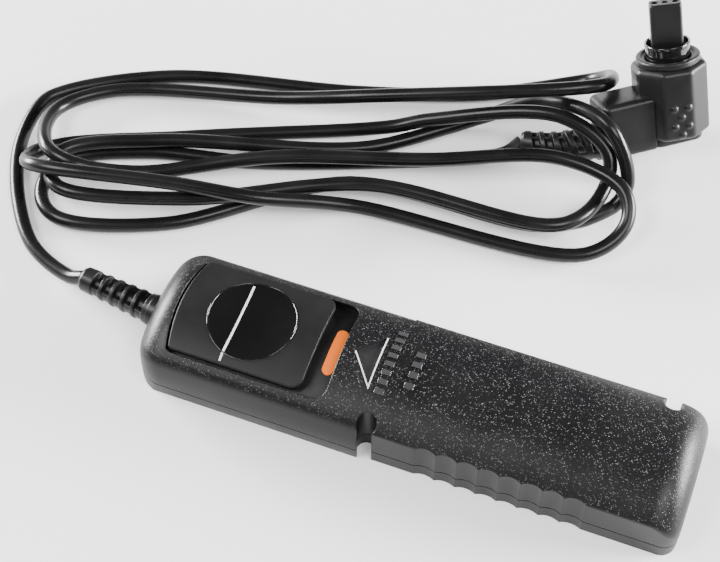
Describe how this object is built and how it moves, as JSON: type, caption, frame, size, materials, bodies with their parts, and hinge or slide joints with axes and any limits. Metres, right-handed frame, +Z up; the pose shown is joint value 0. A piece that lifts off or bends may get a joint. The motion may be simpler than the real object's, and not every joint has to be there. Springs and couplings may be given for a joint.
{
  "type": "cable shutter release",
  "caption": "Slim hand switch with a sliding, lockable shutter button, a thin round lead and a right-angled locking plug.",
  "frame": {"origin": "on the handset's flat underside, 0.85 mm from its middle towards the tail", "axes": "+X from the cord end to the tail of the handset, +Z up out of the button, +Y away from the scalloped side"},
  "size_m": [0.1557, 0.1086, 0.0299],
  "materials": {
    "shell_black": "sparkling fine texture",
    "frame_black": "plain moulded",
    "button_satin": "satin",
    "dish_gloss": "polished",
    "marker_orange": "satin",
    "line_white": "painted",
    "screw_steel": "plated",
    "spring_steel": "drawn wire",
    "board_green": "varnished laminate",
    "block_cream": "moulded",
    "contact_brass": "bright",
    "wire_red": "insulated wire",
    "cord_black": "smooth vinyl sheath",
    "relief_black": "moulded vinyl",
    "plug_black": "satin",
    "sleeve_gloss": "polished"
  },
  "bodies": {
    "handset": {"upper_shell": "shell_black", "lower_shell": "shell_black", "case_screws": "screw_steel", "slide_frame": "frame_black", "lock_marker": "marker_orange", "circuit_board": "board_green", "contact_block": "block_cream", "common_leaf": "contact_brass", "half_press_leaf": "contact_brass", "full_press_leaf": "contact_brass", "lead_wires": "wire_red", "body_strain_relief": "relief_black", "cord": "cord_black", "plug_strain_relief": "relief_black", "plug_arm": "plug_black", "plug_barrel": "plug_black", "plug_base": "plug_black", "plug_ring": "plug_black", "sleeve_washer": "block_cream", "connector_key": "plug_black", "contact_pins": "contact_brass"},
    "carriage": {"slide_carriage": "frame_black", "return_spring": "spring_steel"},
    "button": {"release_plate": "button_satin", "thumb_dish": "dish_gloss", "pointer_line": "line_white"},
    "sleeve": {"lock_sleeve": "sleeve_gloss"}
  },
  "joints": [
    {"name": "button_slide", "type": "slide", "parent": "handset", "child": "carriage", "axis": [1, 0, 0], "range_m": [0, 0.0042]},
    {"name": "button_press", "type": "slide", "parent": "carriage", "child": "button", "axis": [0, 0, -1], "range_m": [0, 0.0008], "stiffness_N_per_m": 800, "deforming": ["return_spring", "common_leaf", "half_press_leaf"]},
    {"name": "sleeve_lock", "type": "slide", "parent": "handset", "child": "sleeve", "axis": [0.3, -0.4, -0.866], "range_m": [0, 0.0012], "stiffness_N_per_m": 300}
  ]
}
